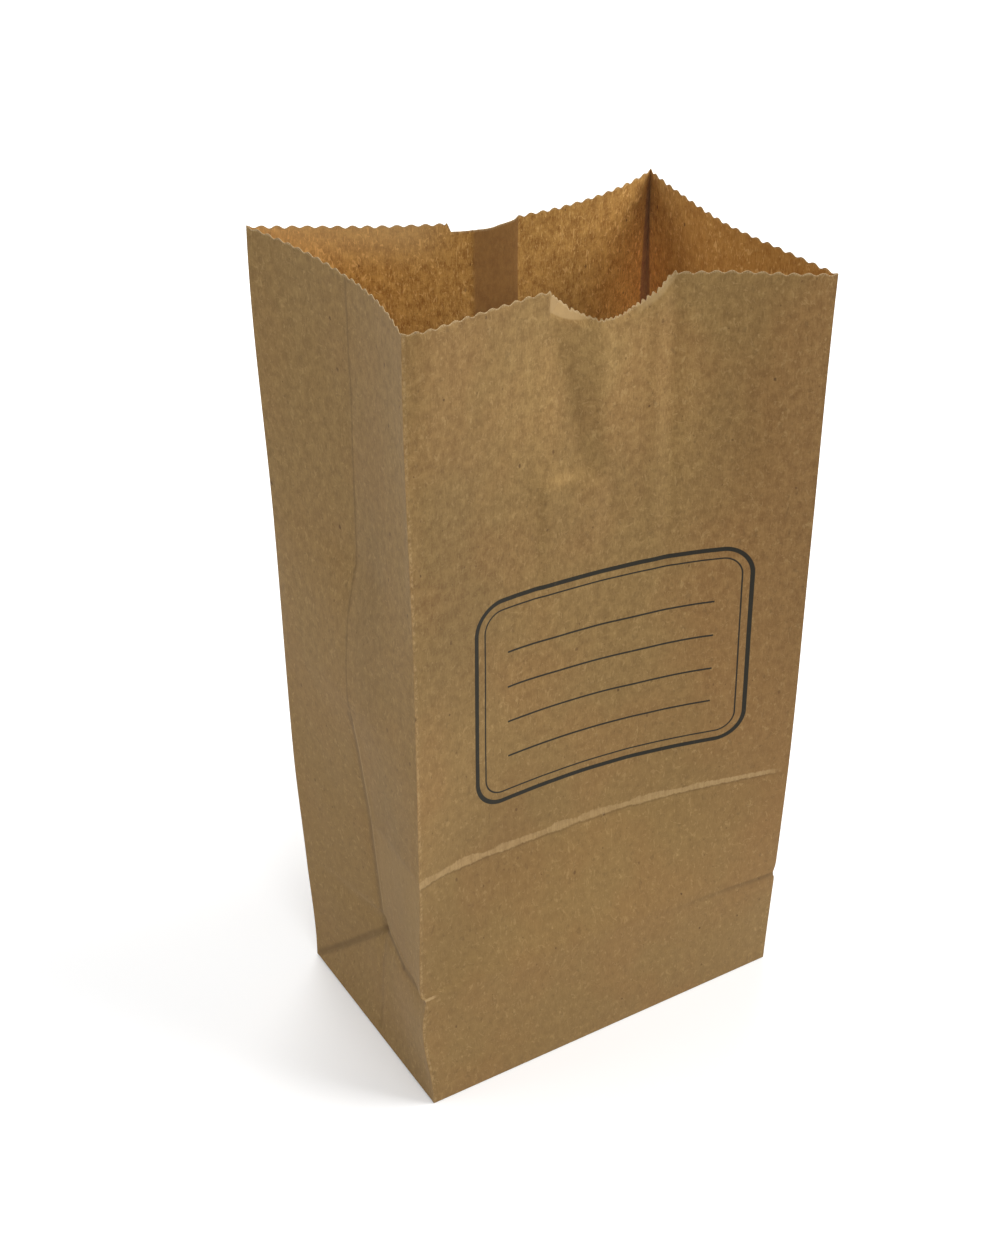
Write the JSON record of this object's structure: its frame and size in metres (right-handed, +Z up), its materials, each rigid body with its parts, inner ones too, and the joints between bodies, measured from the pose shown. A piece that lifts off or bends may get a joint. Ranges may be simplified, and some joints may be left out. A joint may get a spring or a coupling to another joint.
{
  "type": "paper lunch bag",
  "caption": "Open flat-bottomed brown kraft paper lunch bag with gusseted sides, a saw-cut rim and a thumb notch in the front.",
  "frame": {"origin": "middle of the base, on the surface that the bag stands on", "axes": "+Z up through the mouth, the notched front panel towards -Y, +X to the right seen from the front"},
  "size_m": [0.1303, 0.1019, 0.2475],
  "materials": {
    "kraft_paper": "matt unbleached kraft paper, with dark specks and fine fibres"
  },
  "bodies": {
    "root": {"bag": "kraft_paper"}
  },
  "joints": []
}
